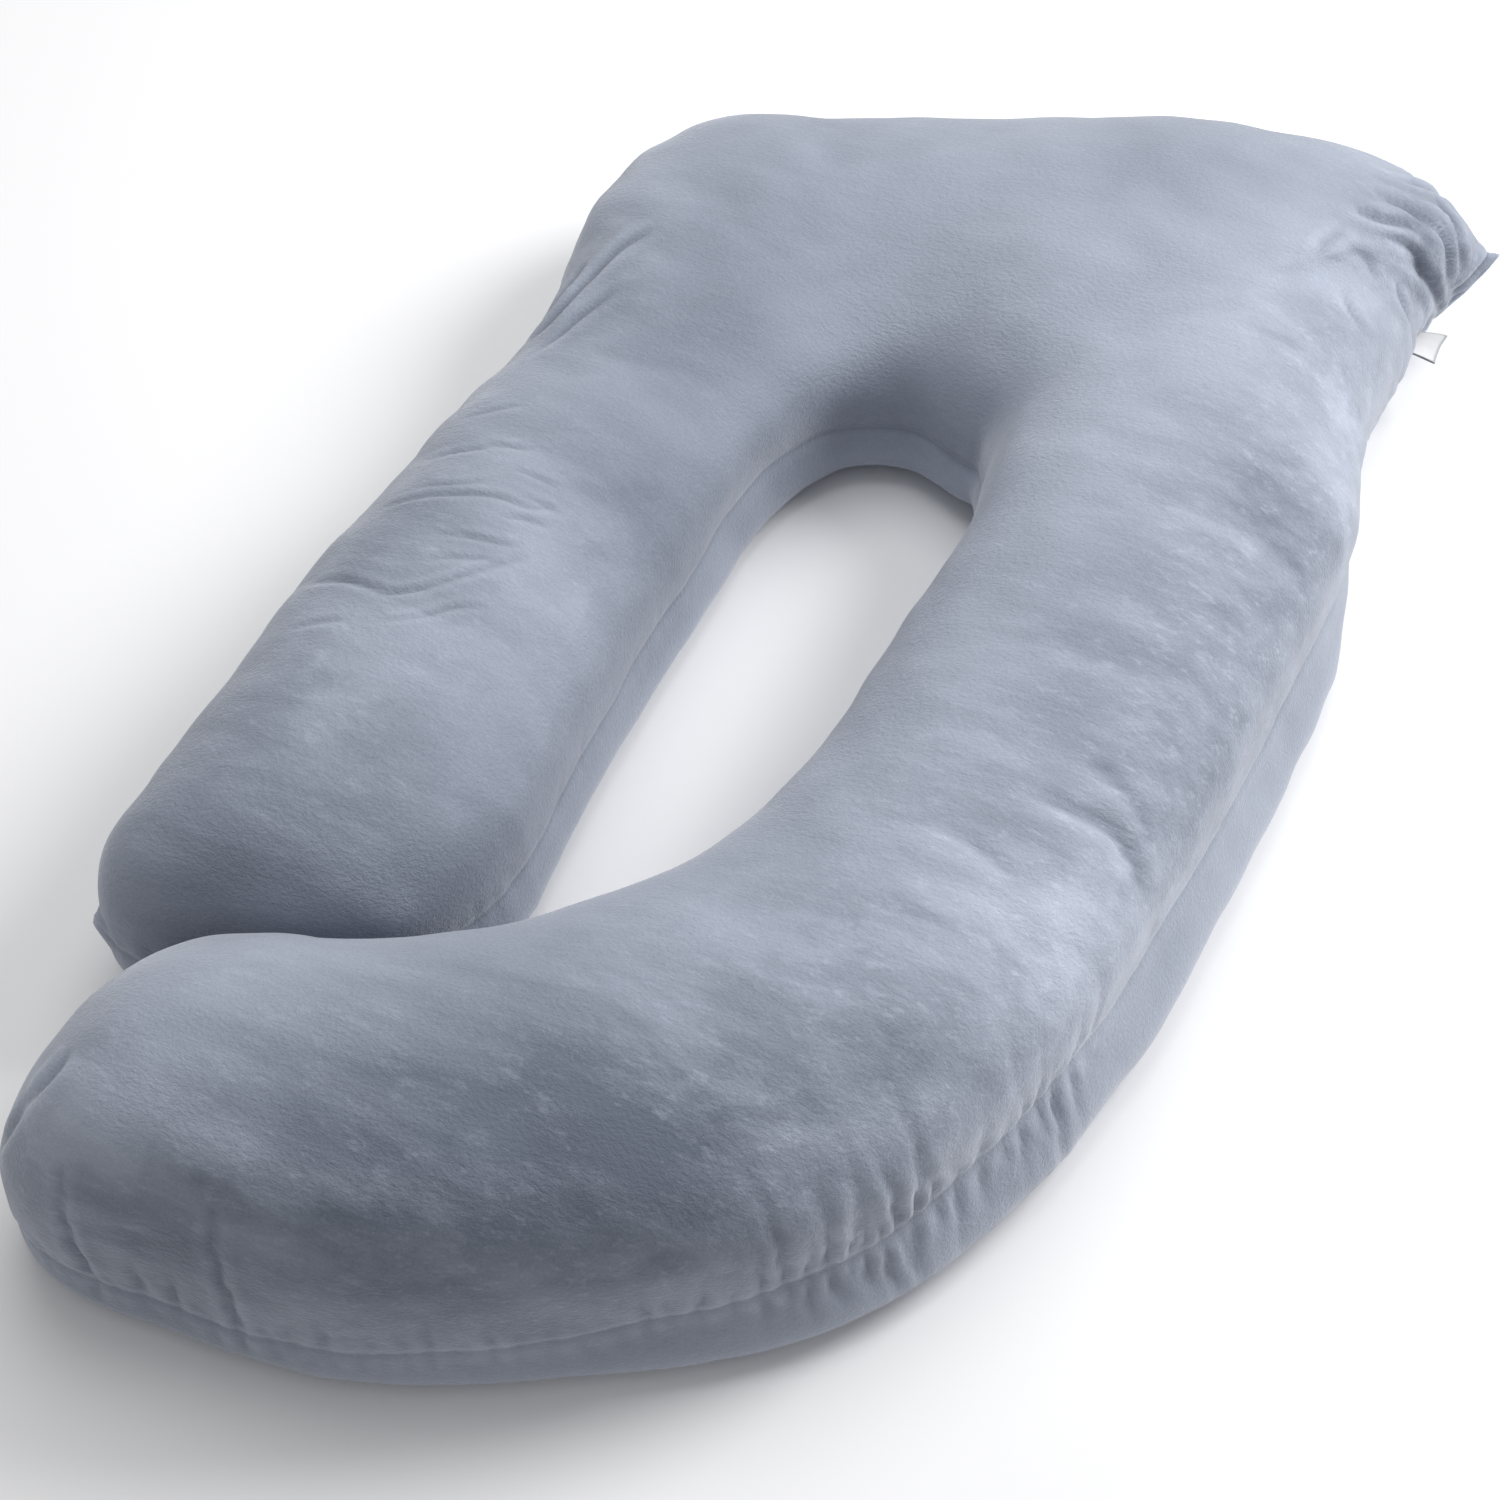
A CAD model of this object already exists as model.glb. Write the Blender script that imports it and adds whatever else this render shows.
# A full-body pregnancy pillow of blue-grey velvet, lying flat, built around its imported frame.
import math
import random
from collections import namedtuple

import bpy
import numpy as np
from mathutils.kdtree import KDTree
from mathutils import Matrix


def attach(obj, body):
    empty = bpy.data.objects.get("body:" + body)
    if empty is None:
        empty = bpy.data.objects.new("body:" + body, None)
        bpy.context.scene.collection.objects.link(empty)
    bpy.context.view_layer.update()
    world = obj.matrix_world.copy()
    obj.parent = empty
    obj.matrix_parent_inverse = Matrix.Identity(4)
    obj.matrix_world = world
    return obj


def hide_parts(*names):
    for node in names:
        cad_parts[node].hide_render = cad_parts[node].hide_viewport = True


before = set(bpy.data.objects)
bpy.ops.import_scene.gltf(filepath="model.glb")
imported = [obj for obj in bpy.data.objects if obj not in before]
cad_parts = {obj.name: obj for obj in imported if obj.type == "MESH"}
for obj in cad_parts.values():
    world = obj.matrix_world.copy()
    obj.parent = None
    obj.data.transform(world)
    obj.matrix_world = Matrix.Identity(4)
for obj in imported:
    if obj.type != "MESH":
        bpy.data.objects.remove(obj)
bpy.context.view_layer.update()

# The photograph's view.
# A long lens looks down at the pillow from beyond its foot, a little to the right.
CAMERA_AIM = (-0.003, -0.101, 0.080)
CAMERA_AZIMUTH = math.radians(25)
CAMERA_ELEVATION = math.radians(52)
CAMERA_DISTANCE = 2.56
SENSOR = 36.0
PICTURE = 1500
FOCAL_PIXELS = 3200

bpy.ops.object.select_all(action="DESELECT")
away = (math.sin(CAMERA_AZIMUTH) * math.cos(CAMERA_ELEVATION),
        -math.cos(CAMERA_AZIMUTH) * math.cos(CAMERA_ELEVATION),
        math.sin(CAMERA_ELEVATION))
bpy.ops.object.camera_add(
    location=[aim + CAMERA_DISTANCE * part for aim, part in zip(CAMERA_AIM, away)],
    rotation=(math.pi / 2 - CAMERA_ELEVATION, 0, CAMERA_AZIMUTH))
camera = bpy.context.object
camera.name = "camera"
camera.data.sensor_width = SENSOR
camera.data.lens = SENSOR * FOCAL_PIXELS / PICTURE
bpy.context.scene.camera = camera

# The studio.
# A plain near-white floor, a large soft light high behind the right side, as the highlights
# on the long arm show, a broad weak one overhead, and even light from all round.
FLOOR_SIZE = 16.0
FLOOR_DROP = 0.0005
Light = namedtuple("Light", "name place aim size power")
LIGHTS = (
    Light("window", (1.7, 1.8, 2.1), (0.0, 0.0, 0.1), 1.6, 86),
    Light("ceiling", (-0.5, 0.7, 3.0), (0.0, 0.0, 0.0), 2.4, 40),
)
AMBIENT = 0.44

bpy.context.scene.view_settings.view_transform = "Standard"
bpy.ops.mesh.primitive_plane_add(size=FLOOR_SIZE, location=(0, 0, -FLOOR_DROP))
floor = bpy.context.object
floor.name = "floor"
for light in LIGHTS:
    bpy.ops.object.light_add(type="AREA", location=light.place)
    lamp = bpy.context.object
    lamp.name = light.name
    lamp.data.shape = "DISK"
    lamp.data.size = light.size
    lamp.data.energy = light.power
    reach = [a - b for a, b in zip(light.place, light.aim)]
    lamp.rotation_euler = (math.acos(reach[2] / math.dist(light.place, light.aim)), 0,
                           math.atan2(reach[0], -reach[1]))
world = bpy.data.worlds.new("studio")
world.use_nodes = True
world.node_tree.nodes["Background"].inputs["Color"].default_value = (1, 1, 1, 1)
world.node_tree.nodes["Background"].inputs["Strength"].default_value = AMBIENT
bpy.context.scene.world = world


class Socket:
    """One output of a shader node, with the arithmetic that its material needs."""

    def __init__(self, tree, output):
        self.tree = tree
        self.output = output

    def node(self, kind, settings=(), inputs=()):
        made = self.tree.nodes.new(kind)
        for name, value in dict(settings).items():
            setattr(made, name, value)
        for name, value in dict(inputs).items():
            if isinstance(value, Socket):
                self.tree.links.new(value.output, made.inputs[name])
            else:
                made.inputs[name].default_value = value
        return made

    def math(self, operation, *values):
        made = self.node("ShaderNodeMath", {"operation": operation}, enumerate(values))
        return Socket(self.tree, made.outputs[0])

    def __add__(self, other):
        return self.math("ADD", self, other)

    def __sub__(self, other):
        return self.math("SUBTRACT", self, other)

    def __mul__(self, other):
        return self.math("MULTIPLY", self, other)

    def clamp(self):
        made = self.node("ShaderNodeClamp", (), {"Value": self})
        return Socket(self.tree, made.outputs[0])

    def between(self, low, high):
        """0 below low, 1 above high, and a smooth step from one to the other."""
        made = self.node("ShaderNodeMapRange", {"interpolation_type": "SMOOTHSTEP"},
                         {"Value": self, "From Min": low, "From Max": high})
        return Socket(self.tree, made.outputs[0])

    def stretched(self, turn, scale):
        """These coordinates turned about Z, then scaled, so that a pattern runs along one way."""
        made = self.node("ShaderNodeMapping", {"vector_type": "POINT"},
                         {"Vector": self, "Rotation": (0, 0, turn), "Scale": scale})
        return Socket(self.tree, made.outputs[0])

    def attribute(self, name):
        made = self.node("ShaderNodeAttribute", {"attribute_name": name})
        return Socket(self.tree, made.outputs["Fac"])

    def noise(self, scale, detail=2.0, roughness=0.5, distortion=0.0):
        made = self.node("ShaderNodeTexNoise", (), {
            "Vector": self, "Scale": scale, "Detail": detail, "Roughness": roughness,
            "Distortion": distortion})
        return Socket(self.tree, made.outputs["Fac"])

    def mixed(self, first, second):
        """A colour between two others, by this value."""
        made = self.node("ShaderNodeMix", {"data_type": "RGBA"}, {"Factor": self})
        for name, value in (("A", first), ("B", second)):
            slot = [i for i in made.inputs if i.name == name and i.type == "RGBA"][0]
            slot.default_value = value
        result = [o for o in made.outputs if o.type == "RGBA"][0]
        return Socket(self.tree, result)

    def bump(self, strength, distance, under=None):
        inputs = {"Height": self, "Strength": strength, "Distance": distance}
        if under is not None:
            inputs["Normal"] = under
        made = self.node("ShaderNodeBump", (), inputs)
        return Socket(self.tree, made.outputs[0])

    def feeds(self, shader, name):
        self.tree.links.new(self.output, shader.inputs[name])


def new_material(name, **settings):
    """A Principled material, its shader, and the piece's own Object coordinates."""
    material = bpy.data.materials.new(name)
    material.use_nodes = True
    tree = material.node_tree
    shader = tree.nodes["Principled BSDF"]
    for slot, value in settings.items():
        shader.inputs[slot.replace("_", " ")].default_value = value
    coordinates = tree.nodes.new("ShaderNodeTexCoord")
    return material, shader, Socket(tree, coordinates.outputs["Object"])


floor_paint, _, _ = new_material("floor_paint", Base_Color=(0.86, 0.86, 0.87, 1), Roughness=0.9)
floor.data.materials.append(floor_paint)

# The cover and its filling.
# Two panels of short-pile velvet, sewn face to face round the outline, turned out and
# filled with fibre, so that each arm is a full round tube, flat only where it lies.
Section = namedtuple(
    "Section", "name outer_x outer_y inner_x inner_y crown outer_seam inner_seam sag thin")
SECTIONS = [
    Section("short_end",      -0.386, -0.280, -0.110, -0.175,  0.205,  0.080,  0.080,  0.015, 0.00),
    Section("short_thigh",    -0.385, -0.100, -0.120, -0.070,  0.205,  0.085,  0.080,  0.015, 0.00),
    Section("short_middle",   -0.372,  0.060, -0.125,  0.060,  0.200,  0.085,  0.080,  0.015, 0.00),
    Section("short_waist",    -0.358,  0.210, -0.125,  0.180,  0.185,  0.085,  0.080,  0.015, 0.00),
    Section("short_shoulder", -0.350,  0.330, -0.120,  0.280,  0.175,  0.085,  0.080,  0.015, 0.00),
    Section("short_cheek",    -0.371,  0.450, -0.100,  0.340,  0.180,  0.085,  0.075,  0.015, 0.00),
    Section("head_left",      -0.344,  0.606, -0.070,  0.375,  0.180,  0.085,  0.070,  0.015, 0.00),
    Section("bar_left",       -0.197,  0.678, -0.035,  0.390,  0.185,  0.085,  0.070,  0.015, 0.00),
    Section("bar_middle",      0.010,  0.758,  0.000,  0.385,  0.205,  0.085,  0.070,  0.015, 0.00),
    Section("bar_right",       0.190,  0.812,  0.035,  0.370,  0.220,  0.082,  0.070,  0.012, 0.00),
    Section("corner_back",     0.302,  0.822,  0.050,  0.360,  0.220,  0.076,  0.075,  0.005, 0.20),
    Section("corner",          0.363,  0.772,  0.060,  0.340,  0.220,  0.070,  0.075, -0.014, 0.30),
    Section("corner_front",    0.341,  0.696,  0.068,  0.318,  0.220,  0.070,  0.075, -0.022, 0.26),
    Section("corner_side",     0.345,  0.630,  0.074,  0.290,  0.220,  0.071,  0.077, -0.020, 0.20),
    Section("long_cheek",      0.342,  0.540,  0.080,  0.258,  0.220,  0.074,  0.080, -0.004, 0.10),
    Section("long_shoulder",   0.369,  0.375,  0.080,  0.180,  0.215,  0.088,  0.080,  0.030, 0.00),
    Section("long_waist",      0.372,  0.220,  0.075,  0.100,  0.215,  0.102,  0.080,  0.048, 0.00),
    Section("long_middle",     0.367,  0.060,  0.070,  0.000,  0.215,  0.108,  0.080,  0.046, 0.00),
    Section("long_hip",        0.358, -0.080,  0.055, -0.080,  0.215,  0.106,  0.080,  0.046, 0.00),
    Section("bend_start",      0.333, -0.212,  0.030, -0.145,  0.215,  0.103,  0.080,  0.046, 0.00),
    Section("bend",            0.284, -0.345,  0.000, -0.200,  0.220,  0.092,  0.085,  0.040, 0.00),
    Section("bend_finish",     0.198, -0.453, -0.045, -0.255,  0.225,  0.078,  0.085,  0.034, 0.00),
    Section("foot_start",      0.080, -0.534, -0.095, -0.300,  0.230,  0.063,  0.090,  0.025, 0.00),
    Section("foot_middle",    -0.045, -0.594, -0.145, -0.335,  0.230,  0.054,  0.090,  0.018, 0.00),
    Section("foot_end",       -0.185, -0.613, -0.180, -0.352,  0.230,  0.048,  0.090,  0.015, 0.00),
]
PLAN_CENTRE = (0.0034, 0.1008)
End = namedtuple("End", "length run_x run_y square")
SHORT_END = End(0.135, -0.06, -1.00, 2.8)
FOOT_END = End(0.160, -1.00, -0.20, 2.4)
UPPER_ROUND = 2.2
LOWER_ROUND = 2.9
UPPER_SWELL = 0.016
INNER_SWELL = 0.024
FLOOR_PRESS = 1.15
THIN_FROM = 0.1
THIN_POWER = 1.5

# Rings lie closer together where the cloth is creased: the wrinkled arm, the crumpled
# corner, and the gathered bend and foot.
Stretch = namedtuple("Stretch", "first last step")
RING_STEP = 0.0070
FINE_STRETCHES = (
    Stretch(0.10, 0.40, 0.0034),
    Stretch(1.09, 1.13, 0.0036),
    Stretch(1.13, 1.25, 0.0022),
    Stretch(1.25, 1.32, 0.0036),
    Stretch(1.87, 2.44, 0.0032),
)
SHORT_END_STEP = 0.0052
FOOT_END_STEP = 0.0038
PLACES_TRIED = 4000      # evenly along the pillow, to count the rings off

# Points of a ring, from the outer seam over the top to the inner one and back underneath.
# Crowd says how many more there are close to a seam, and over what share of the way.
Crowd = namedtuple("Crowd", "at reach weight")
UPPER_POINTS = 100
UPPER_CROWDS = (Crowd(0, 0.14, 1.6), Crowd(1, 0.08, 0.8))
LOWER_POINTS = 46
LOWER_CROWDS = (Crowd(0, 0.10, 1.6), Crowd(1, 0.14, 3.0))
OUTLINE_STEPS = 360

# The stuffing fills out the hollow that the two panels' own curves would leave at a seam
SEAM_SOFTNESS = 0.018
SEAM_FILLED = 0.060


def curve_through(knots, values, places):
    """A natural cubic curve through the values at the knots, read at the places given."""
    gaps = np.diff(knots)
    count = len(knots)
    matrix = np.eye(count)
    right = np.zeros_like(values)
    for row in range(1, count - 1):
        before, after = gaps[row - 1], gaps[row]
        matrix[row, row - 1:row + 2] = before, 2 * (before + after), after
        right[row] = 6 * ((values[row + 1] - values[row]) / after
                          - (values[row] - values[row - 1]) / before)
    bend = np.linalg.solve(matrix, right)
    row = np.clip(np.searchsorted(knots, places) - 1, 0, count - 2)
    gap = gaps[row][:, None]
    left = (knots[row + 1] - places)[:, None]
    on = (places - knots[row])[:, None]
    return ((bend[row] * left ** 3 + bend[row + 1] * on ** 3) / (6 * gap)
            + (values[row] / gap - bend[row] * gap / 6) * left
            + (values[row + 1] / gap - bend[row + 1] * gap / 6) * on)


table = np.array([row[1:] for row in SECTIONS])
steps = (np.linalg.norm(np.diff(table[:, 0:2], axis=0), axis=1)
         + np.linalg.norm(np.diff(table[:, 2:4], axis=0), axis=1)) / 2
PLACES = np.concatenate([[0], np.cumsum(steps)])
PLACE_OF = {row.name: place for row, place in zip(SECTIONS, PLACES)}


def closing(end, turn):
    """How wide a round end still is at a turn from its start, and how far on that lies."""
    return np.cos(turn) ** (2 / end.square), np.sin(turn) ** (2 / end.square) * end.length


def end_sections(row, end, step):
    """Rows that close one end, evenly spaced along its round plan, and how far on they lie."""
    turn = np.linspace(0, math.pi / 2, OUTLINE_STEPS)
    width, reach = closing(end, turn)
    half = np.linalg.norm(row[0:2] - row[2:4]) / 2
    walked = np.concatenate([[0], np.cumsum(np.hypot(np.diff(width) * half, np.diff(reach)))])
    count = int(walked[-1] / step)
    turn = np.interp(np.linspace(0, walked[-1], count + 1)[1:-1], walked, turn)[:, None]
    width, reach = closing(end, turn)
    run = np.array([end.run_x, end.run_y])
    run = run / np.linalg.norm(run)
    middle = (row[0:2] + row[2:4]) / 2
    closed = np.repeat(row[None], len(turn), axis=0)
    closed[:, 0:2] = middle + (row[0:2] - middle) * width + run * reach
    closed[:, 2:4] = middle + (row[2:4] - middle) * width + run * reach
    closed[:, 4:5] = row[5] + (row[4] - row[5]) * np.cos(turn) ** (2 / UPPER_ROUND)
    low = np.cos(turn) ** (2 / LOWER_ROUND)
    return np.hstack([closed, low, width]), reach[:, 0]


def outlines(rows, angles):
    """Points on the sections' outlines: 0 is the outer seam, a quarter turn the crown."""
    outer, inner = rows[:, None, 0:2], rows[:, None, 2:4]
    crown, outer_seam, inner_seam, sag, thin, low, swell = (
        rows[:, column, None] for column in range(4, 11))
    across, height = np.cos(angles), np.sin(angles)
    upper = height >= 0
    power = np.where(upper, 2 / UPPER_ROUND, 2 / LOWER_ROUND)
    side = np.sign(across) * np.abs(across) ** power
    rise = np.abs(height) ** power
    middle, half = (outer + inner) / 2, (outer - inner) / 2
    below = np.where(across > 0, sag, INNER_SWELL)
    swelling = np.where(upper, UPPER_SWELL, below) * np.abs(np.sin(2 * angles)) * swell
    side = side + np.sign(across) * swelling / np.linalg.norm(half, axis=2)
    seam = outer_seam * (1 + side) / 2 + inner_seam * (1 - side) / 2
    fall = 1 - thin * np.clip((side - THIN_FROM) / (1 - THIN_FROM), 0, 1) ** THIN_POWER
    top = seam + (crown - seam) * rise * fall
    bottom = np.maximum(0, seam - seam * FLOOR_PRESS * rise * low)
    plan = middle + side[:, :, None] * half - np.array(PLAN_CENTRE)
    return np.concatenate([plan, np.where(upper, top, bottom)[:, :, None]], axis=2)


def softened(fine):
    """Outlines whose hollow at each seam is filled out, as stuffing fills the cloth there."""
    count = fine.shape[1]
    lengths = np.linalg.norm(np.roll(fine, -1, axis=1) - fine, axis=2)
    sigma = SEAM_SOFTNESS / np.maximum(lengths.mean(1), 1e-9)
    waves = np.fft.rfftfreq(count)[None]
    low_pass = np.exp(-2 * (math.pi * waves * sigma[:, None]) ** 2)[:, :, None]
    smooth = np.fft.irfft(np.fft.rfft(fine, axis=1) * low_pass, n=count, axis=1)
    walked = np.cumsum(lengths, axis=1) - lengths
    total = walked[:, -1:] + lengths[:, -1:]
    from_outer = np.minimum(walked, total - walked)
    from_inner = np.abs(walked - walked[:, count // 2, None])
    near = np.maximum(np.exp(-(from_outer / SEAM_FILLED) ** 4),
                      np.exp(-(from_inner / SEAM_FILLED) ** 4))[:, :, None]
    return fine + (smooth - fine) * near


def shares(count, crowds):
    """Shares of the way from seam to seam, closer together near the crowded places."""
    even = np.linspace(0, 1, OUTLINE_STEPS)
    density = 1 + sum(
        crowd.weight * np.exp(-np.abs(even - crowd.at) / crowd.reach) for crowd in crowds)
    walked = np.cumsum(density) - density[0]
    return np.interp(np.linspace(0, walked[-1], count, endpoint=False), walked, even)


def half_rings(rows, start, ways):
    """Half of every ring, with points at the same shares of its way, and each ring's length."""
    turn = np.linspace(0, 2 * math.pi, 2 * OUTLINE_STEPS, endpoint=False)
    fine = softened(outlines(rows, turn))
    fine = np.roll(fine, -start, axis=1)[:, :OUTLINE_STEPS + 1]
    lengths = np.linalg.norm(np.diff(fine, axis=1), axis=2)
    walked = np.hstack([np.zeros((len(rows), 1)), np.cumsum(lengths, axis=1)])
    rings = [
        np.column_stack([np.interp(ways * way[-1], way, points[:, axis]) for axis in range(3)])
        for way, points in zip(walked, fine)]
    return np.array(rings), walked[:, -1:]


# The sections along the arms and round both ends
even_places = np.linspace(0, PLACES[-1], PLACES_TRIED)
step_at = np.full(len(even_places), RING_STEP)
for stretch in FINE_STRETCHES:
    step_at[(even_places > stretch.first) & (even_places < stretch.last)] = stretch.step
counted = np.cumsum(1 / step_at)
counted = (counted - counted[0]) * even_places[1]
run_places = np.interp(np.linspace(0, counted[-1], int(counted[-1])), counted, even_places)
run_rows = np.pad(curve_through(PLACES, table, run_places), ((0, 0), (0, 2)), constant_values=1)
first_rows, first_reach = end_sections(run_rows[0, :9], SHORT_END, SHORT_END_STEP)
last_rows, last_reach = end_sections(run_rows[-1, :9], FOOT_END, FOOT_END_STEP)
all_rows = np.vstack([first_rows[::-1], run_rows, last_rows])
ring_places = np.concatenate([-first_reach[::-1], run_places, PLACES[-1] + last_reach])

upper_ways = shares(UPPER_POINTS, UPPER_CROWDS)
lower_ways = shares(LOWER_POINTS, LOWER_CROWDS)
upper_rings, upper_length = half_rings(all_rows, 0, upper_ways)
lower_rings, lower_length = half_rings(all_rows, OUTLINE_STEPS, lower_ways)
grid = np.concatenate([upper_rings, lower_rings], axis=1)
RINGS, POINTS = grid.shape[:2]

# How far up each point lies from the nearer seam, along the cloth, or down if negative
from_outer = np.hstack([upper_ways * upper_length, -(1 - lower_ways) * lower_length])
from_inner = np.hstack([(1 - upper_ways) * upper_length, -lower_ways * lower_length])
seam_rise = np.where(np.abs(from_outer) < np.abs(from_inner), from_outer, from_inner)


def outward(grid):
    """Unit normals of the grid of rings."""
    along = np.gradient(grid, axis=0)
    around = np.roll(grid, -1, axis=1) - np.roll(grid, 1, axis=1)
    normal = np.cross(around, along)
    return normal / np.maximum(np.linalg.norm(normal, axis=2, keepdims=True), 1e-9)


normals = outward(grid)
seed = random.Random(7)

# The fibre inside is never quite even: long soft lumps with shorter ones on them.
Lumps = namedtuple("Lumps", "count shortest longest height")
FILLING = (Lumps(26, 0.11, 0.30, 0.0017), Lumps(40, 0.035, 0.080, 0.0004))
FLOOR_FADE = 0.03        # lumps fade out over this height above the floor

proud = np.zeros((RINGS, POINTS))
for lumps in FILLING:
    for _ in range(lumps.count):
        direction = np.array([seed.gauss(0, 1) for _ in range(3)])
        direction /= np.linalg.norm(direction)
        wave = 2 * math.pi / seed.uniform(lumps.shortest, lumps.longest)
        phase = seed.uniform(0, 2 * math.pi)
        proud += lumps.height * math.sqrt(2 / lumps.count) * np.sin(grid @ direction * wave + phase)
proud *= np.clip(grid[:, :, 2] / FLOOR_FADE, 0, 1)

# Where each point lies along the sewn edge, which runs up the outer side and back down
# the inner one. On the arms it is level with the edge's point on the same ring. Round an
# end it is level with the nearest point, sought on that end's half of the pillow only,
# because the foot and the short arm's end nearly touch.
SEAM_ZONE = 0.13
END_BLEND = 0.06
seam_line = np.vstack([grid[:, 0], grid[::-1, UPPER_POINTS]])
seam_steps = np.linalg.norm(np.diff(seam_line, axis=0), axis=1)
seam_walk = np.concatenate([[0], np.cumsum(seam_steps)])
seam_run = np.gradient(seam_line, axis=0)
seam_run[:, 2] = 0
seam_run /= np.linalg.norm(seam_run, axis=1)[:, None]
edge_ring = np.concatenate([np.arange(RINGS), np.arange(RINGS)[::-1]])
walk = np.where(np.abs(from_outer) < np.abs(from_inner),
                seam_walk[:RINGS, None], seam_walk[:RINGS - 1:-1, None])
into_arm = np.minimum(ring_places, PLACES[-1] - ring_places)
round_end = 1 - np.clip(into_arm / END_BLEND, 0, 1)
middle_ring = RINGS // 2
for rings in (range(0, middle_ring), range(middle_ring, RINGS)):
    near_edge = [index for index, ring in enumerate(edge_ring) if ring in rings]
    tree = KDTree(len(near_edge))
    for index in near_edge:
        tree.insert((seam_line[index][0], seam_line[index][1], 0), index)
    tree.balance()
    for ring in rings:
        if round_end[ring] == 0:
            continue
        for point in np.flatnonzero(np.abs(seam_rise[ring]) < SEAM_ZONE):
            here = grid[ring, point]
            _, index, _ = tree.find((here[0], here[1], 0))
            beside = (here - seam_line[index]) @ seam_run[index]
            other = min(max(index + (1 if beside > 0 else -1), 0), len(seam_line) - 1)
            beyond = (here - seam_line[other]) @ seam_run[other]
            share = beside / (beside - beyond) if beside * beyond < 0 else 0
            found = seam_walk[index] + share * (seam_walk[other] - seam_walk[index])
            walk[ring, point] += round_end[ring] * (found - walk[ring, point])
walk[np.abs(seam_rise) >= SEAM_ZONE] = -1


def edge_at(section, on):
    """The distance along the sewn edge, on its outer side, of a place on the pillow."""
    return float(np.interp(PLACE_OF[section] + on, ring_places, seam_walk[:RINGS]))


# Gathers: the long edge round the bend is eased into a shorter seam, so the cloth stands
# in small tucks there. A tuck is a narrow valley between two soft lips, across the seam.
Gather = namedtuple("Gather", "section on up down lean width depth")
GATHERS = (
    Gather("long_hip", 0.078, 0.012, 0.045, -0.10, 0.0040, 0.0030),
    Gather("long_hip", 0.094, 0.010, 0.060, -0.15, 0.0052, 0.0042),
    Gather("bend_start", 0.006, 0.010, 0.040, 0.05, 0.0034, 0.0026),
    Gather("bend_start", 0.020, 0.014, 0.040, -0.20, 0.0046, 0.0036),
    Gather("bend_start", 0.034, 0.008, 0.024, 0.00, 0.0036, 0.0022),
    Gather("bend_start", 0.051, 0.012, 0.032, -0.12, 0.0044, 0.0030),
    Gather("bend_start", 0.068, 0.010, 0.038, -0.20, 0.0048, 0.0036),
    Gather("bend_start", 0.085, 0.050, 0.016, 0.10, 0.0044, 0.0032),
    Gather("bend_start", 0.099, 0.058, 0.040, -0.12, 0.0050, 0.0042),
    Gather("bend", 0.007, 0.062, 0.030, 0.10, 0.0048, 0.0044),
    Gather("bend", 0.018, 0.052, 0.044, 0.08, 0.0044, 0.0040),
    Gather("bend", 0.028, 0.062, 0.026, 0.00, 0.0052, 0.0050),
    Gather("bend", 0.038, 0.054, 0.014, -0.10, 0.0044, 0.0038),
    Gather("bend", 0.049, 0.056, 0.026, 0.04, 0.0050, 0.0044),
    Gather("bend", 0.062, 0.046, 0.028, -0.08, 0.0040, 0.0030),
    Gather("bend", 0.074, 0.060, 0.012, 0.10, 0.0048, 0.0040),
    Gather("bend", 0.088, 0.040, 0.018, 0.05, 0.0040, 0.0034),
    Gather("bend_finish", 0.018, 0.034, 0.012, -0.05, 0.0042, 0.0024),
    Gather("bend_finish", 0.046, 0.040, 0.010, 0.06, 0.0046, 0.0026),
    Gather("foot_start", 0.020, 0.034, 0.012, 0.10, 0.0046, 0.0022),
    Gather("foot_start", 0.052, 0.042, 0.010, 0.00, 0.0042, 0.0022),
    Gather("foot_middle", 0.004, 0.038, 0.012, 0.08, 0.0046, 0.0024),
    Gather("foot_middle", 0.047, 0.115, 0.012, 0.10, 0.0046, 0.0038),
    Gather("foot_middle", 0.078, 0.034, 0.012, -0.06, 0.0044, 0.0034),
    Gather("foot_end", 0.006, 0.046, 0.012, 0.05, 0.0048, 0.0028),
    Gather("foot_end", 0.047, 0.100, 0.014, 0.12, 0.0050, 0.0046),
    Gather("corner_front", 0.040, 0.014, 0.010, 0.00, 0.0056, 0.0060),
    Gather("corner_front", 0.064, 0.012, 0.010, 0.00, 0.0050, 0.0046),
    Gather("long_cheek", 0.010, 0.012, 0.010, 0.00, 0.0056, 0.0060),
    Gather("long_cheek", 0.034, 0.012, 0.008, 0.00, 0.0044, 0.0034),
)
LIP_AWAY = 2.0           # how far the lips stand from the valley, in its widths
LIP_WIDTH = 1.25
LIP_SHARE = 0.42         # their height as a share of the valley's depth
SEAM_HOLD = 0.75         # how much of a tuck the sewn line flattens, and how widely
SEAM_HOLD_WIDTH = 0.009
WAVER = 0.0011           # how far a tuck wavers on its way up
WAVER_LENGTH = 0.034
WAVER_SHIFT = 400        # radians to the metre of edge, so that no two waver alike
WIDTHS_OUT = 6           # how far out a tuck still counts, in its widths


def valley(aside):
    """A narrow valley between two soft lips, across its own width."""
    lips = np.exp(-((np.abs(aside) - LIP_AWAY) / LIP_WIDTH) ** 2)
    return LIP_SHARE * lips - np.exp(-aside ** 2)


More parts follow.
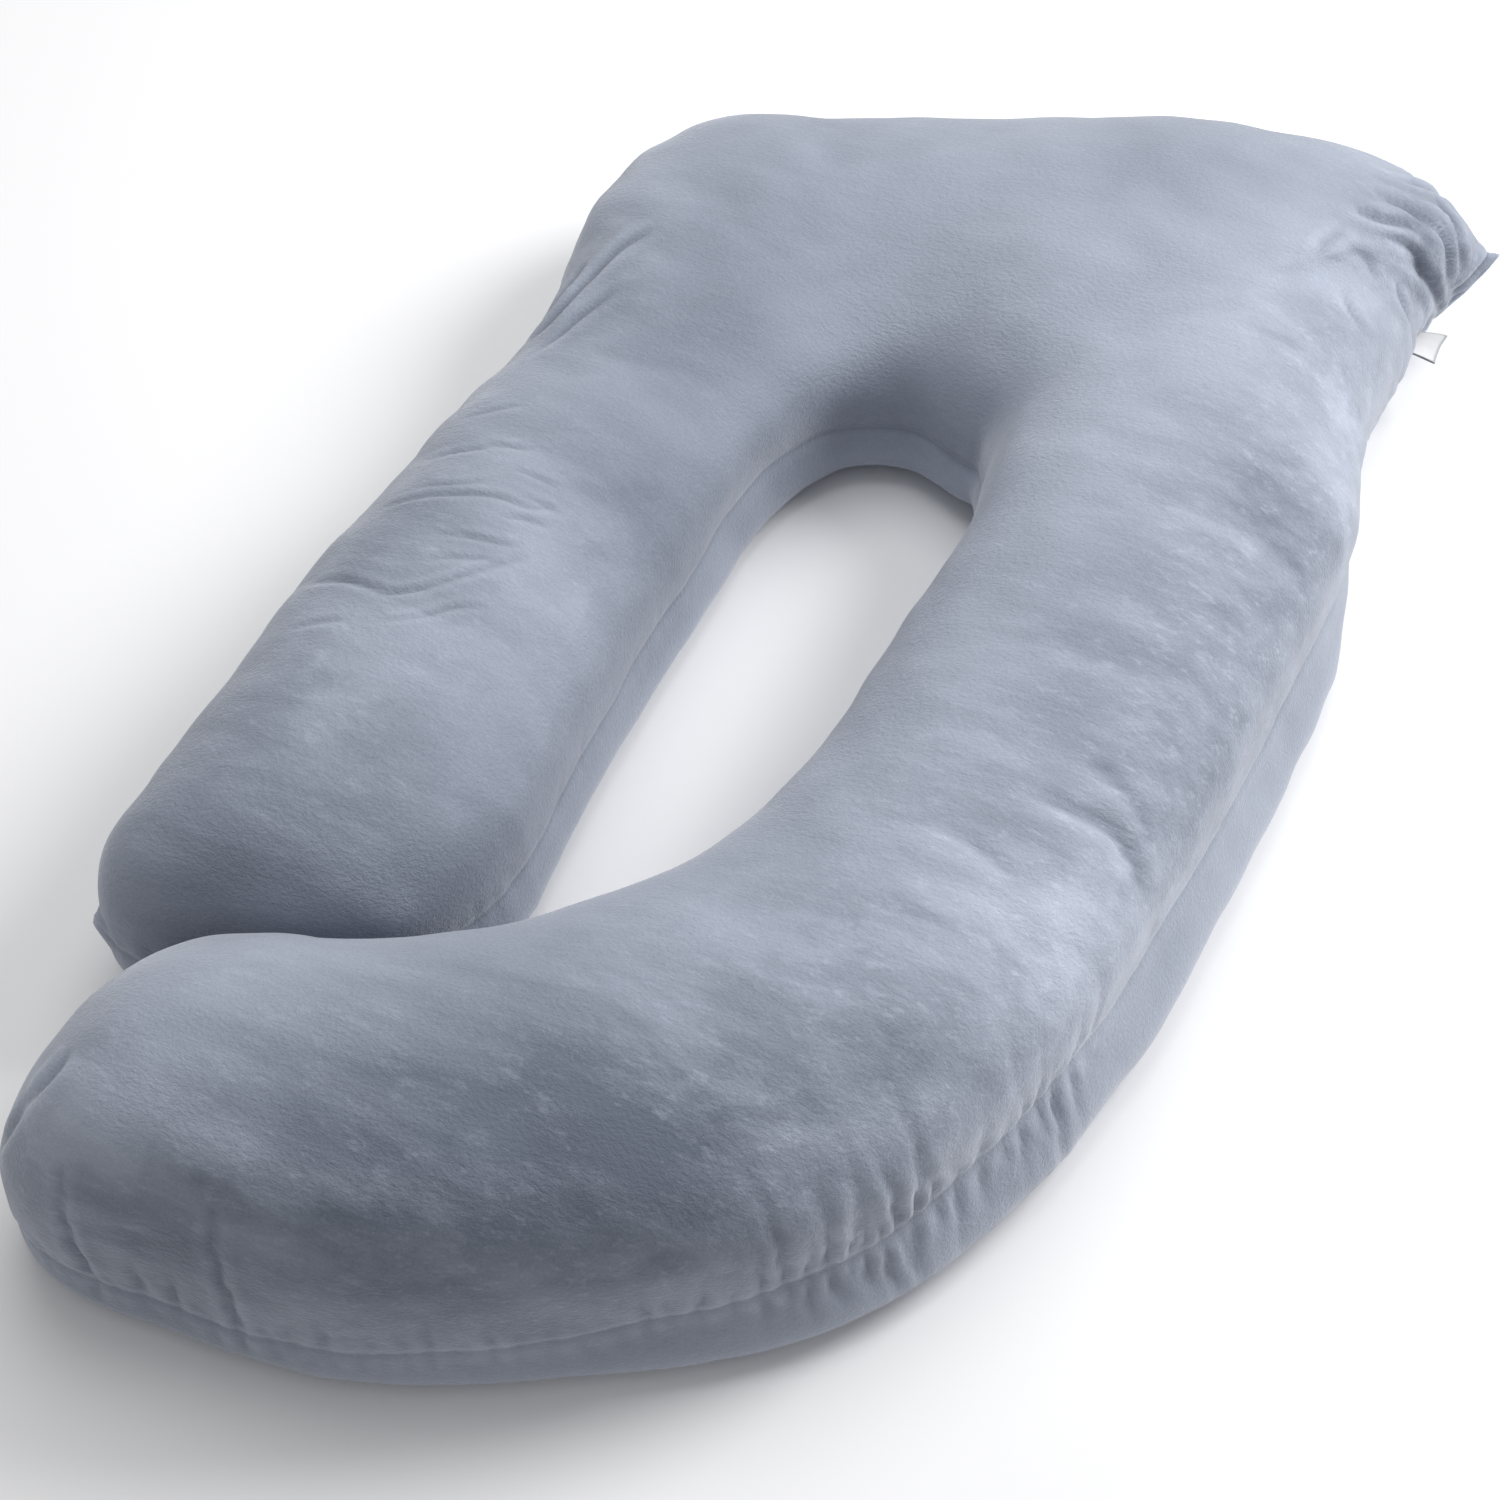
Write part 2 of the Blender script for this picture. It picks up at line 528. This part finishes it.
def add_gather(centre, up, down, lean, width, depth):
    """Presses one tuck into the cloth across the seam."""
    close = (np.abs(walk - centre) < WIDTHS_OUT * width + abs(lean) * SEAM_ZONE) & (walk >= 0)
    rise = seam_rise[close]
    waver = WAVER * np.sin(rise / WAVER_LENGTH * 2 * math.pi + centre * WAVER_SHIFT)
    aside = (walk[close] - centre - lean * rise - waver) / width
    fade = np.exp(-(rise / np.where(rise > 0, up, down)) ** 2)
    fade = fade * (1 - SEAM_HOLD * np.exp(-(rise / SEAM_HOLD_WIDTH) ** 2))
    proud[close] += depth * fade * valley(aside)


for gather in GATHERS:
    add_gather(edge_at(gather.section, gather.on), *gather[2:])

# Smaller puckers between them, all round the edge, strongest where it curves outwards.
Pucker = namedtuple("Pucker", "first first_on last last_on pitch depth reach")
PUCKERS = (
    Pucker("short_thigh", 0.0, "short_shoulder", 0.0, 0.046, 0.0011, 0.016),
    Pucker("short_cheek", 0.0, "bar_left", 0.0, 0.026, 0.0018, 0.024),
    Pucker("bar_left", 0.0, "bar_right", 0.0, 0.040, 0.0012, 0.018),
    Pucker("bar_right", 0.0, "long_cheek", 0.08, 0.017, 0.0026, 0.022),
    Pucker("long_cheek", 0.08, "long_hip", 0.05, 0.034, 0.0006, 0.016),
    Pucker("long_hip", 0.05, "bend_finish", 0.0, 0.013, 0.0015, 0.020),
    Pucker("bend_finish", 0.0, "foot_end", 0.0, 0.017, 0.0016, 0.024),
)
CAP_PUCKERS = (0.018, 0.0017, 0.020)        # round both ends: pitch, depth, reach
INNER_PUCKERS = (0.055, 0.0010, 0.018)      # along the inner side
PUCKER_SIZES = (0.45, 1.25)
PUCKER_UP = (0.6, 1.5)                      # shares of the reach, above the seam and below it
PUCKER_DOWN = (0.4, 1.0)
PUCKER_LEAN = 0.35
PUCKER_WIDTH = 0.0036
PUCKER_WIDENING = 0.0016
PUCKER_GAPS = (0.55, 1.5)


def add_puckers(start, finish, pitch, depth, reach):
    """Small irregular tucks from one distance along the edge to another."""
    place = start
    while place < finish:
        size = seed.uniform(*PUCKER_SIZES)
        add_gather(place, reach * seed.uniform(*PUCKER_UP), reach * seed.uniform(*PUCKER_DOWN),
                   seed.uniform(-PUCKER_LEAN, PUCKER_LEAN),
                   PUCKER_WIDTH + PUCKER_WIDENING * size, depth * size)
        place += pitch * seed.uniform(*PUCKER_GAPS)


for pucker in PUCKERS:
    add_puckers(edge_at(pucker.first, pucker.first_on), edge_at(pucker.last, pucker.last_on),
                *pucker[4:])
foot_tip, foot_inner = edge_at("foot_end", 0), 2 * seam_walk[RINGS] - edge_at("foot_end", 0)
short_edge = edge_at("short_end", 0)
add_puckers(foot_tip, foot_inner, *CAP_PUCKERS)
add_puckers(foot_inner, seam_walk[-1] - short_edge, *INNER_PUCKERS)
add_puckers(0, short_edge, *CAP_PUCKERS)
add_puckers(seam_walk[-1] - short_edge, seam_walk[-1], *CAP_PUCKERS)

# Creases away from the seam. Each one follows a line of places, as a section's distance
# along the pillow and an angle round the outline: 0 is the outer seam and 90 the crown.
Crease = namedtuple("Crease", "width depth line")
CREASES = (
    # across the short arm
    Crease(0.0032, 0.0019, ((0.256, 54), (0.270, 72), (0.285, 88), (0.290, 98), (0.308, 104))),
    Crease(0.0030, 0.0014, ((0.280, 66), (0.288, 76), (0.300, 84))),
    Crease(0.0030, 0.0019, ((0.232, 80), (0.240, 93), (0.247, 102))),
    Crease(0.0036, 0.0024, ((0.170, 50), (0.171, 66), (0.165, 80), (0.176, 90))),
    Crease(0.0032, 0.0024, ((0.156, 78), (0.175, 88), (0.193, 93), (0.245, 107))),
    Crease(0.0030, 0.0017, ((0.205, 84), (0.216, 92), (0.226, 100))),
    Crease(0.0030, 0.0021, ((0.132, 83), (0.150, 92), (0.168, 98), (0.178, 106))),
    Crease(0.0032, 0.0017, ((0.122, 56), (0.127, 66), (0.131, 75))),
    Crease(0.0030, 0.0018, ((0.320, 58), (0.330, 68), (0.337, 76))),
    Crease(0.0030, 0.0018, ((0.343, 74), (0.347, 82), (0.351, 88))),
    Crease(0.0032, 0.0014, ((0.370, 58), (0.384, 66), (0.398, 75))),
    Crease(0.0030, 0.0018, ((0.323, 88), (0.325, 95), (0.324, 101))),
    Crease(0.0030, 0.0019, ((0.268, 94), (0.275, 99), (0.281, 107))),
    Crease(0.0030, 0.0017, ((0.296, 93), (0.300, 100), (0.297, 107))),
    # where the short arm turns into the head end
    Crease(0.0056, 0.0050, ((0.486, 40), (0.512, 49), (0.565, 58), (0.600, 65), (0.628, 73))),
    Crease(0.0050, 0.0034, ((0.462, 56), (0.512, 62), (0.562, 72))),
    Crease(0.0042, 0.0024, ((0.520, 40), (0.548, 46), (0.580, 50))),
    # the inside of the bend, and above the seam there
    Crease(0.0070, 0.0044, ((1.795, 80), (1.790, 62), (1.798, 48), (1.812, 33))),
    Crease(0.0056, 0.0026, ((1.752, 72), (1.762, 58), (1.786, 40))),
    Crease(0.0050, 0.0022, ((1.845, 96), (1.850, 80), (1.868, 66))),
    # the crumpled corner
    Crease(0.0064, 0.0062, ((1.150, 60), (1.168, 55), (1.188, 44), (1.206, 34), (1.220, 22))),
    Crease(0.0058, 0.0054, ((1.158, 42), (1.180, 40), (1.200, 30), (1.208, 20))),
    Crease(0.0062, 0.0060, ((1.162, 68), (1.176, 62), (1.184, 52))),
    Crease(0.0056, 0.0034, ((1.196, 62), (1.206, 52), (1.222, 40), (1.234, 30))),
    Crease(0.0056, 0.0036, ((1.222, 46), (1.230, 34), (1.232, 20), (1.228, 8))),
    Crease(0.0054, 0.0028, ((1.212, 68), (1.228, 58), (1.250, 50))),
    Crease(0.0052, 0.0036, ((1.245, 40), (1.262, 34), (1.272, 22))),
    Crease(0.0056, 0.0046, ((1.142, 50), (1.150, 38), (1.150, 26))),
    Crease(0.0052, 0.0036, ((1.128, 34), (1.134, 24), (1.130, 12))),
    Crease(0.0060, 0.0042, ((1.180, 72), (1.196, 76), (1.214, 74))),
    Crease(0.0054, 0.0030, ((1.262, 60), (1.286, 56), (1.312, 46))),
    # the root of the large ear
    Crease(0.0046, 0.0034, ((1.166, 8), (1.186, 9), (1.206, 8), (1.216, 5))),
    Crease(0.0030, 0.0050, ((1.160, 2.4), (1.186, 2.2), (1.206, 2.2), (1.218, 2.4))),
    # tucks over the foot's far side
    Crease(0.0060, 0.0050, ((2.528, 80), (2.536, 70), (2.548, 62))),
    Crease(0.0056, 0.0044, ((2.545, 62), (2.556, 52), (2.566, 42))),
)
LINE_STEPS = 90          # from one of a line's places to the next
CREASE_ZONE = 0.05       # how far aside of the line a crease can reach
END_FADE = 0.6


def place_on(places, angles):
    """Points of the smooth pillow at places along it and angles round it."""
    rows = np.column_stack([np.interp(places, ring_places, column) for column in all_rows.T])
    return outlines(rows, np.radians(angles)[:, None])[:, 0]


def beside_line(line):
    """For points near a line drawn on the cloth: which, how far aside, and how far along."""
    knots = np.arange(len(line))
    steps = np.linspace(0, len(line) - 1, LINE_STEPS * (len(line) - 1) + 1)
    drawn = curve_through(knots, np.array(line), steps)
    path = place_on(drawn[:, 0], drawn[:, 1])
    centre = path.mean(0)
    radius = np.linalg.norm(path - centre, axis=1).max() + CREASE_ZONE
    close = np.argwhere(((grid - centre) ** 2).sum(2) < radius ** 2)
    away = grid[close[:, 0], close[:, 1]][:, None] - path[None]
    nearest = (away ** 2).sum(2).argmin(1)
    away = away[np.arange(len(close)), nearest]
    tangent = np.gradient(path, axis=0)[nearest]
    tangent /= np.linalg.norm(tangent, axis=1)[:, None]
    normal = normals[close[:, 0], close[:, 1]]
    path_normal = normal[np.argmin((away ** 2).sum(1))]
    forward = (away * tangent).sum(1)
    side = (away * np.cross(normal, tangent)).sum(1)
    facing = normal @ path_normal > 0
    share = nearest / (len(path) - 1)
    beyond = np.where((nearest == 0) | (nearest == len(path) - 1), np.abs(forward), 0)
    keep = facing & (np.abs(side) < CREASE_ZONE)
    return close[keep], side[keep], share[keep], beyond[keep]


for crease in CREASES:
    close, aside, share, beyond = beside_line(crease.line)
    fade = np.sin(math.pi * np.clip(share, 0, 1)) ** END_FADE
    fade = fade * np.exp(-(beyond / crease.width) ** 2)
    proud[close[:, 0], close[:, 1]] += crease.depth * fade * valley(aside / crease.width)

# The sewn line lies in a narrow channel.
CHANNEL_DEPTH = 0.0022
CHANNEL_WIDTH = 0.0045
proud -= CHANNEL_DEPTH * np.exp(-(seam_rise / CHANNEL_WIDTH) ** 2)
shaped = grid + normals * proud[:, :, None]

# Two corners of the cloth aren't filled and stand out as flat ears: a large one at the
# head end, and a nub at the short arm's end. The cloth above the seam runs out into an ear
# in a ramp, and the cloth below it makes a low wall and then turns back under.
Ear = namedtuple("Ear", "at before after out_x out_y out_z ramp wall under point")
EARS = (
    Ear(edge_at("corner", 0.002), 0.036, 0.037, 0.018, 0.017, 0.032, 0.050, 0.016, 0.024, 1.35),
    Ear(edge_at("short_end", -0.091), 0.015, 0.018, -0.010, -0.002, 0.009, 0.020, 0.006, 0.014, 0.8),
)
in_ear = np.zeros((RINGS, POINTS))
for ear in EARS:
    beside = walk - ear.at
    peak = np.clip(1 + np.minimum(beside / ear.before, -beside / ear.after), 0, 1) ** ear.point
    ramp = np.clip(1 - seam_rise / ear.ramp, 0, 1) ** ear.point
    under = np.clip(1 + (seam_rise + ear.wall) / ear.under, 0, 1)
    share = np.where(walk >= 0, peak * np.where(seam_rise > 0, ramp, under), 0)
    shaped += share[:, :, None] * np.array([ear.out_x, ear.out_y, ear.out_z])
    in_ear = np.maximum(in_ear, share)

# Under the large ear the lower panel is drawn in, out of sight below the upper one, most
# where it nears the floor and no longer where it has turned under.
TUCK_AT = edge_at("corner", 0.016)
TUCK_REACH = 0.034
TUCK_DOWN = 0.055
TUCK_IN = (-0.044, 0.019, 0.0)
tuck = np.exp(-((walk - TUCK_AT) / TUCK_REACH) ** 2) * np.clip(-seam_rise / TUCK_DOWN, 0, 1)
tuck *= np.clip((SEAM_ZONE + seam_rise) / (SEAM_ZONE - TUCK_DOWN), 0, 1)
shaped += np.where(walk >= 0, tuck, 0)[:, :, None] * np.array(TUCK_IN)

FLOOR_CLOSE = 1e-6
flat = grid[:, :, 2] < FLOOR_CLOSE
shaped[:, :, 2] = np.where(flat, 0, np.maximum(shaped[:, :, 2], 0))


def cover_mesh(name, grid):
    """One closed skin over the grid of rings, with a point at the middle of each end."""
    rings, points = grid.shape[:2]
    vertices = np.concatenate([grid.reshape(-1, 3), [grid[0].mean(0)], [grid[-1].mean(0)]])
    ring, point = np.meshgrid(np.arange(rings - 1), np.arange(points), indexing="ij")
    here = ring * points + point
    after = ring * points + (point + 1) % points
    faces = np.stack([here, after, after + points, here + points], -1).reshape(-1, 4).tolist()
    hub, last = rings * points, (rings - 1) * points
    for point in range(points):
        after = (point + 1) % points
        faces.append((after, point, hub))
        faces.append((last + point, last + after, hub + 1))
    mesh = bpy.data.meshes.new(name)
    mesh.from_pydata(vertices.tolist(), [], faces)
    mesh.shade_smooth()
    made = bpy.data.objects.new(name, mesh)
    bpy.context.scene.collection.objects.link(made)
    return made


cover = cover_mesh("velvet_cover", shaped)

# The cover is blown up as cloth for a moment, and wrinkles by itself where it was cut
# larger than its filling needs. Slack says where: the wrinkled arm, the unfilled corner
# and the bend. The sewn line, the ears and the floor hold the cloth.
Patch = namedtuple("Patch", "place angle radius share")
SLACKS = (
    Patch(0.100, 75, 0.090, 0.28),
    Patch(0.240, 80, 0.120, 0.42),
    Patch(0.380, 70, 0.090, 0.30),
    Patch(0.540, 45, 0.080, 0.45),
    Patch(1.190, 35, 0.090, 1.00),
    Patch(1.290, 15, 0.080, 0.70),
    Patch(1.480, 15, 0.080, 0.10),
    Patch(1.800, 55, 0.080, 0.45),
    Patch(1.930, 6, 0.090, 0.75),
    Patch(2.080, 6, 0.100, 0.80),
    Patch(2.500, 10, 0.090, 0.40),
)
SPARE_CLOTH = 0.040      # how much larger slack cloth is than what it covers
VELVET_CLOTH = {
    "quality": 3, "mass": 0.35, "tension_stiffness": 20, "compression_stiffness": 4,
    "shear_stiffness": 4, "bending_stiffness": 0.05, "use_pressure": True,
    "uniform_pressure_force": 4.0, "vertex_group_mass": "held", "vertex_group_shrink": "taut",
    "shrink_max": 0, "shrink_min": -SPARE_CLOTH,
}
LAST_FRAME = 20
HELD_SEAM = 0.012
HELD_FLOOR = 0.012
HELD_EAR = 5             # how soon the cloth counts as part of an ear, which is held whole
MOST_MOVED = 0.012
TAUT_SHARE = 0.22        # of the movement that taut cloth keeps, where slack keeps it all
SWELLING_KEPT = 0.25     # of the broad swelling, which would make the pillow too large
SWELLING_REACH = 8       # rings or points over which a movement counts as broad
FINEST_REACH = 1         # and over which it is evened out, so that no rib is left by the rings


def blurred(field, reach):
    """The field averaged over the rings and points close by."""
    weights = np.exp(-np.linspace(-2, 2, 4 * reach + 1) ** 2)
    weights /= weights.sum()
    padded = np.pad(field, ((2 * reach, 2 * reach), (0, 0), (0, 0)), mode="edge")
    field = sum(weight * padded[on:on + RINGS] for on, weight in enumerate(weights))
    return sum(weight * np.roll(field, on - 2 * reach, axis=1)
               for on, weight in enumerate(weights))


def patched(patches, elsewhere=0.0):
    """Soft patches laid on the cover by hand, as one number for every point of the rings."""
    layer = np.full((RINGS, POINTS), elsewhere)
    for patch in patches:
        middle = place_on(np.array([patch.place]), np.array([patch.angle]))[0]
        layer += patch.share * np.exp(-((grid - middle) ** 2).sum(2) / patch.radius ** 2)
    return layer


def for_vertices(values):
    """A number for every vertex: the rings' own, and the mean of each end for its middle."""
    return np.append(values.ravel(), [values[0].mean(), values[-1].mean()])


def weigh(name, weights):
    """A vertex group with these weights."""
    group = cover.vertex_groups.new(name=name)
    for index, weight in enumerate(for_vertices(weights)):
        group.add([index], float(weight), "REPLACE")


slack = np.minimum(patched(SLACKS), 1)
held = np.maximum(np.exp(-(seam_rise / HELD_SEAM) ** 2),
                  np.clip(1 - shaped[:, :, 2] / HELD_FLOOR, 0, 1))
held = np.maximum(held, np.clip(HELD_EAR * in_ear, 0, 1))
held[[0, -1]] = 1
weigh("held", held)
weigh("taut", 1 - slack)
cloth = cover.modifiers.new("filled", "CLOTH")
for name, value in VELVET_CLOTH.items():
    setattr(cloth.settings, name, value)
cloth.settings.effector_weights.gravity = 0
cloth.collision_settings.use_collision = False
cloth.point_cache.frame_end = LAST_FRAME
for number in range(1, LAST_FRAME + 1):
    bpy.context.scene.frame_set(number)
settled = cover.evaluated_get(bpy.context.evaluated_depsgraph_get()).to_mesh()
after = np.empty(3 * len(settled.vertices))
settled.vertices.foreach_get("co", after)
moved = after.reshape(-1, 3)[:RINGS * POINTS].reshape(RINGS, POINTS, 3) - shaped
moved = blurred(moved, FINEST_REACH)
moved += (SWELLING_KEPT - 1) * blurred(moved, SWELLING_REACH)
moved *= (TAUT_SHARE + (1 - TAUT_SHARE) * slack)[:, :, None]
length = np.linalg.norm(moved, axis=2, keepdims=True)
shaped += moved * np.minimum(1, MOST_MOVED / np.maximum(length, 1e-9))
shaped[:, :, 2] = np.where(flat, 0, np.maximum(shaped[:, :, 2], 0))
cover.modifiers.remove(cloth)
cover.vertex_groups.clear()
bpy.context.scene.frame_set(1)
cover.data.vertices.foreach_set("co", np.concatenate(
    [shaped.reshape(-1, 3), [shaped[0].mean(0)], [shaped[-1].mean(0)]]).ravel())
cover.data.update()

# The velvet. Its short pile shows light where it was last brushed towards the window and
# dark where it lies the other way: in broad patches placed by hand, and in finer ones with
# fairly sharp edges, streaks across the arms and small flecks.
PATCHES = (
    # the short arm: a dark end, a lighter middle, darker in its wrinkles
    Patch(-0.060, 80, 0.120, -0.22),
    Patch(0.010, 110, 0.110, -0.16),
    Patch(0.080, 95, 0.080, 0.10),
    Patch(0.150, 120, 0.090, 0.12),
    Patch(0.215, 68, 0.055, -0.14),
    Patch(0.280, 108, 0.070, 0.06),
    Patch(0.350, 122, 0.070, -0.26),
    Patch(0.560, 102, 0.100, -0.20),
    Patch(0.480, 80, 0.100, 0.06),
    # the head end
    Patch(0.700, 110, 0.140, -0.06),
    Patch(0.780, 60, 0.120, -0.05),
    Patch(1.030, 80, 0.120, -0.12),
    Patch(1.195, 48, 0.060, -0.32),
    Patch(1.176, 52, 0.028, -0.20),
    Patch(1.228, 44, 0.024, 0.26),
    Patch(1.205, 14, 0.045, -0.20),
    Patch(1.336, 68, 0.042, -0.12),
    Patch(1.290, 90, 0.150, 0.14),
    # the long arm
    Patch(1.400, 66, 0.070, -0.12),
    Patch(1.470, 100, 0.110, 0.04),
    Patch(1.540, 50, 0.080, -0.06),
    Patch(1.700, 60, 0.090, -0.02),
    Patch(1.680, 352, 0.070, 0.08),
    Patch(1.820, 85, 0.120, 0.08),
    Patch(1.880, 22, 0.080, 0.30),
    Patch(1.940, 345, 0.050, -0.10),
    Patch(1.980, 72, 0.080, -0.13),
    # the foot: light on top of its far end, dark in front
    Patch(2.140, 60, 0.090, -0.36),
    Patch(2.200, 86, 0.080, -0.14),
    Patch(2.300, 75, 0.110, -0.14),
    Patch(2.260, 28, 0.120, -0.22),
    Patch(2.400, 40, 0.120, -0.20),
    Patch(2.520, 20, 0.100, -0.12),
    Patch(2.440, 100, 0.110, 0.12),
    Patch(2.500, 74, 0.090, 0.16),
)
# How strongly the finer marks show: hardly at the head end, most on the long arm's outer
# side and the corner, where the pillow is handled.
BRUSHED = (
    Patch(0.020, 80, 0.130, 0.45),
    Patch(0.250, 85, 0.140, 0.40),
    Patch(0.540, 45, 0.090, 0.30),
    Patch(1.200, 38, 0.090, 0.90),
    Patch(1.360, 45, 0.090, 0.70),
    Patch(1.500, 52, 0.120, 0.80),
    Patch(1.660, 55, 0.120, 0.80),
    Patch(1.820, 60, 0.130, 0.70),
    Patch(1.980, 60, 0.130, 0.65),
    Patch(2.150, 60, 0.140, 0.55),
    Patch(2.330, 60, 0.150, 0.50),
    Patch(2.500, 40, 0.140, 0.35),
)
BRUSHED_ELSEWHERE = 0.15
BRUSHED_BELOW = 0.55             # share of it on the lower panel
STREAK_TURN = math.radians(-6)   # the streaks run nearly straight across the two arms
LOWER_TONE = 0.06
SEWN_LINE = 0.0011               # half the width of the line where the two panels meet
SEWN_TONE = 0.16
RIDGE_REACH = 2
RIDGE_TONE = 90                  # how much a metre of ridge or hollow lightens or darkens
MOST_RIDGE_TONE = 0.16
CLOUDS = (3.1, 3, 0.5, 0.2)      # each noise: its scale, detail, roughness and distortion
SMUDGES = (9.5, 5, 0.62, 0.35)
STREAKS = (34.0, 4, 0.6, 0.3)
FLECKS = (120.0, 3, 0.65)
GRAIN = (460.0, 3, 0.75)
PILE = (330.0, 3, 0.7)
DEEP_BLUE = (0.115, 0.136, 0.180, 1)
PALE_BLUE = (0.465, 0.507, 0.605, 1)
MIDDLE_TONE = 0.38

brushed = np.minimum(patched(BRUSHED, BRUSHED_ELSEWHERE), 1)
brushed *= np.where(seam_rise < 0, BRUSHED_BELOW, 1)
relief = ((shaped - blurred(shaped, RIDGE_REACH)) * outward(shaped)).sum(2)
ridges = np.clip(RIDGE_TONE * relief, -MOST_RIDGE_TONE, MOST_RIDGE_TONE)
for name, values in (("seam_rise", seam_rise), ("nap", patched(PATCHES) + ridges),
                     ("brushed", brushed)):
    layer = cover.data.attributes.new(name, "FLOAT", "POINT")
    layer.data.foreach_set("value", for_vertices(values))

velvet, shader, place = new_material(
    "velvet", Roughness=0.82, Sheen_Weight=0.55, Sheen_Roughness=0.42,
    Sheen_Tint=(0.93, 0.95, 1.0, 1))
rise = place.attribute("seam_rise")
clouds = place.noise(*CLOUDS)
smudges = place.stretched(STREAK_TURN, (0.42, 1, 1)).noise(*SMUDGES)
streaks = place.stretched(STREAK_TURN, (0.2, 1, 1)).noise(*STREAKS)
flecks = place.stretched(STREAK_TURN, (0.4, 1, 1)).noise(*FLECKS)
grain = place.noise(*GRAIN)
marks = (smudges - 0.5) * 0.9 + smudges.between(0.50, 0.56) * 0.10
marks = marks + (streaks - 0.5) * 0.80 + flecks.between(0.54, 0.70) * 0.18
tone = place.attribute("brushed") * marks + (clouds - 0.5) * 0.36 + (grain - 0.5) * 0.30
tone = tone + place.attribute("nap") + MIDDLE_TONE + rise.between(0.0, -0.004) * LOWER_TONE
sewn = rise.between(-SEWN_LINE, 0.0) * rise.between(2 * SEWN_LINE, SEWN_LINE)
tone = tone + sewn * SEWN_TONE
tone.clamp().mixed(DEEP_BLUE, PALE_BLUE).feeds(shader, "Base Color")
(streaks * 0.12 + 0.78).feeds(shader, "Roughness")
pile = place.stretched(STREAK_TURN, (0.55, 1, 1)).noise(*PILE)
under = (smudges * 0.8 + streaks * 0.5).bump(0.5, 0.002)
pile.bump(0.55, 0.0022, under).feeds(shader, "Normal")
cover.data.materials.append(velvet)
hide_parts("pillow_body")
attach(cover, "root")

# The side label.
# A blank strip of white satin ribbon, folded into a loop, with both its ends sewn into the
# seam 6 cm on from the ear. It stands out nearly level and droops a little.
LABEL_ON = 0.064
LABEL_WIDTH = 0.026
LABEL_LENGTH = 0.026
LABEL_OUT = (0.965, 0.175, -0.060)
LABEL_THICKNESS = 0.0004
LABEL_OPEN = 0.0011      # half the gap between the two layers
LABEL_DROOP = 0.0020
LABEL_TWIST = 0.0120     # how much lower one corner of its fold lies than the other
LABEL_TUCKED = 0.004     # how far its ends reach into the seam
LABEL_ACROSS = 16
LABEL_AROUND = 48
FOLD_ROUNDING = 0.6
SHARP_ANGLE = math.radians(50)
RIBS = (2600.0, 2, 0.6)
SLUBS = (160.0, 3, 0.5)
SATIN_GREY = (0.24, 0.25, 0.28, 1)
SATIN_WHITE = (0.68, 0.68, 0.69, 1)
WHITENESS = 0.80
WOVEN_EDGE = 0.55        # how much darker the ribbon's woven edges and its fold look

label_centre = edge_at("corner", LABEL_ON)
bpy.ops.object.select_all(action="DESELECT")
bpy.ops.mesh.primitive_grid_add(x_subdivisions=LABEL_ACROSS, y_subdivisions=LABEL_AROUND,
                                size=1, location=(0, 0, 0))
label = bpy.context.object
label.name = "satin_loop"
outwards = np.array(LABEL_OUT) / np.linalg.norm(LABEL_OUT)
rim = []
for vertex in label.data.vertices:
    aside, around = vertex.co.x, vertex.co.y
    root = np.array([np.interp(label_centre + aside * LABEL_WIDTH, seam_walk[:RINGS],
                               shaped[:, 0, axis]) for axis in range(3)])
    level = abs(2 * around)                      # 0 at the fold and 1 at both sewn ends
    reach = math.cos(level * math.pi / 2)
    half_gap = LABEL_OPEN * math.sin(math.pi * level) ** FOLD_ROUNDING * math.copysign(1, around)
    droop = LABEL_DROOP * reach ** 2 + LABEL_TWIST * aside * reach
    rim.append(max(2 * abs(aside), reach))
    vertex.co = (root + outwards * (reach * (LABEL_LENGTH + LABEL_TUCKED) - LABEL_TUCKED)
                 + np.array([0, 0, half_gap - droop]))
label.data.attributes.new("rim", "FLOAT", "POINT").data.foreach_set("value", rim)
bpy.ops.object.modifier_add(type="SOLIDIFY")
label.modifiers[0].thickness = LABEL_THICKNESS
label.modifiers[0].offset = 0
bpy.ops.object.modifier_apply(modifier=label.modifiers[0].name)
bpy.ops.object.shade_smooth_by_angle(angle=SHARP_ANGLE)

satin, shader, place = new_material(
    "satin", Roughness=0.42, Sheen_Weight=0.15, Specular_IOR_Level=0.4)
ribs = place.stretched(0.0, (0.25, 1.0, 1.0)).noise(*RIBS)
slubs = place.noise(*SLUBS)
weave = (ribs - 0.5) * 0.16 + (slubs - 0.5) * 0.18 + WHITENESS
woven_edge = place.attribute("rim").between(0.90, 0.98)
tone = (weave - woven_edge * WOVEN_EDGE).clamp()
tone.mixed(SATIN_GREY, SATIN_WHITE).feeds(shader, "Base Color")
(ribs * 0.2 + 0.34).feeds(shader, "Roughness")
ribs.bump(0.25, 0.0004).feeds(shader, "Normal")
label.data.materials.append(satin)
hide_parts("side_label")
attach(label, "root")
